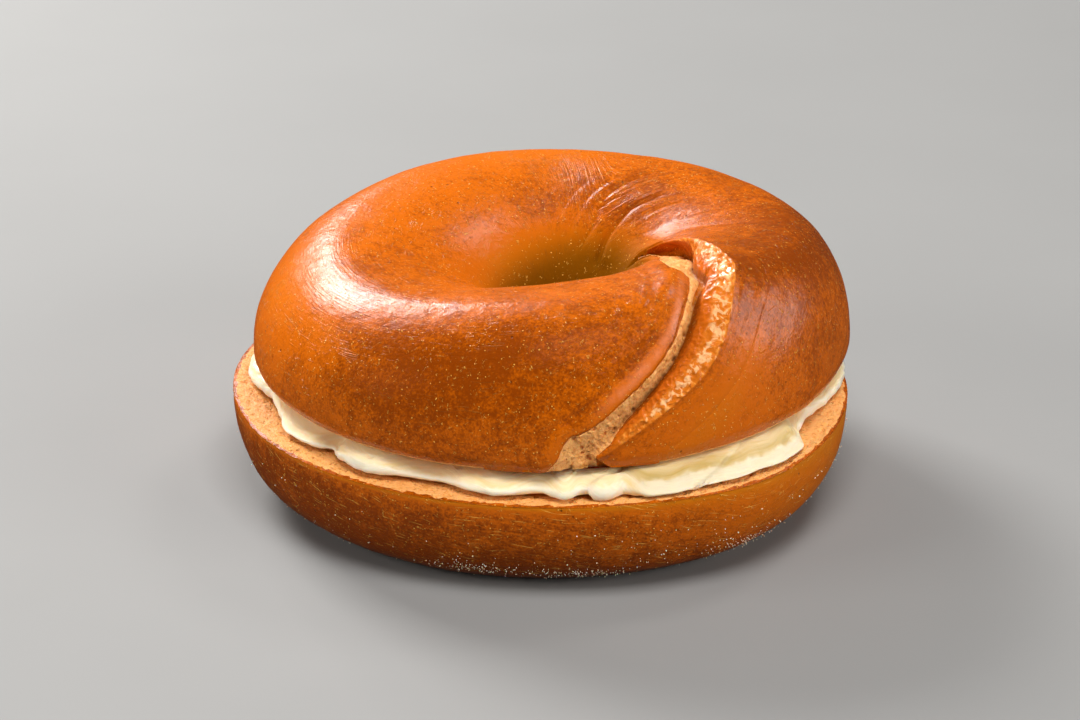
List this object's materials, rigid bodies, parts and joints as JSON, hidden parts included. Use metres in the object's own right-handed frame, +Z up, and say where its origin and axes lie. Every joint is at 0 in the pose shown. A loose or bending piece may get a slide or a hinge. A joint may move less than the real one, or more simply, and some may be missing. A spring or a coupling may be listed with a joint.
{
  "type": "filled bagel",
  "caption": "Glossy plain bagel cut level and closed over a pale spread, a lopsided ring with a seam across the front where the rope's ends overlap.",
  "frame": {"origin": "middle of the bagel's outline on the table it rests on", "axes": "+Z up, the way it lies on its bottom half; -Y is the front, where the seam runs down to the cut; +X is to the right seen from the front"},
  "size_m": [0.1111, 0.1111, 0.0511],
  "materials": {
    "bottom_crust": "satin baked crust, darker brown, with pale crumb on the cut face",
    "spread": "smooth pale cream, soft satin",
    "top_crust": "glossy baked crust, deep golden brown, with torn crumb in the seam"
  },
  "bodies": {
    "root": {"bottom_half": "bottom_crust", "spread": "spread", "top_half": "top_crust"}
  },
  "joints": []
}
